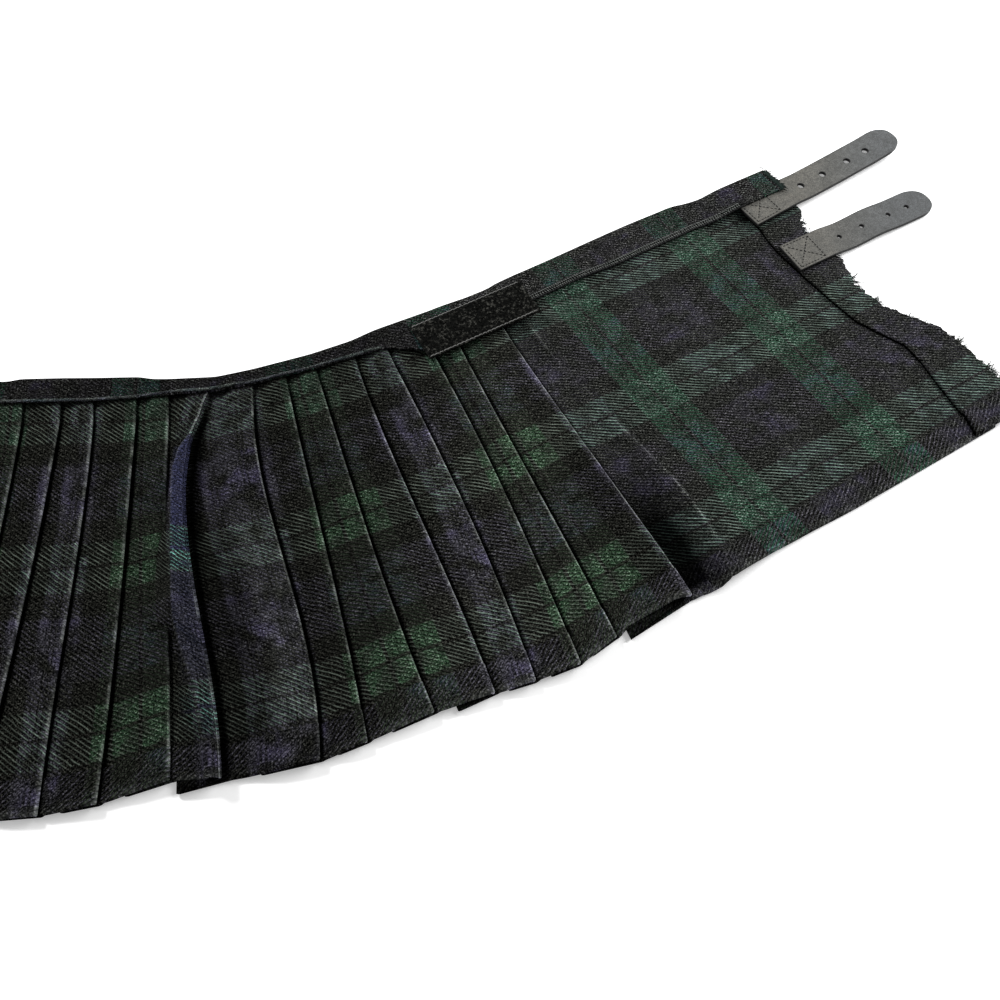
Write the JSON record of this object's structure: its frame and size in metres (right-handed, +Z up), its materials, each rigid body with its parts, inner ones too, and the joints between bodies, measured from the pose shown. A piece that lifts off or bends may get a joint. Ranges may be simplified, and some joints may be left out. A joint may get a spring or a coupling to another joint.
{
  "type": "scottish kilt",
  "caption": "Baby's pleated tartan kilt opened out and laid flat inside up: plain aprons, bound waist, fringed edge, hook-and-loop patches, leather straps and buckles.",
  "frame": {"origin": "middle of the garment's box on the surface that it lies on", "axes": "+X from the under-apron to the over-apron, +Y towards the waistband, +Z up from the surface; the garment's inside faces up"},
  "size_m": [0.7716, 0.426, 0.0132],
  "materials": {
    "tartan": "brushed wool twill woven in dark blue, black and green",
    "loop_pile": "fuzzy nylon loop",
    "hook_tape": "stiff nylon hook tape",
    "leather": "worn, unpolished flesh side with cut edges",
    "steel": "nickel-plated wire"
  },
  "bodies": {
    "root": {"under_apron": "tartan", "pleated_back": "tartan", "over_apron": "tartan", "waistband": "tartan", "fringe_strip": "tartan", "fringe": "tartan", "loop_patch": "loop_pile", "hook_patch": "hook_tape", "strap_upper": "leather", "strap_lower": "leather", "buckle_tab_upper": "leather", "buckle_tab_lower": "leather", "buckle_frame_upper": "steel", "buckle_frame_lower": "steel", "buckle_prong_upper": "steel", "buckle_prong_lower": "steel"}
  },
  "joints": []
}
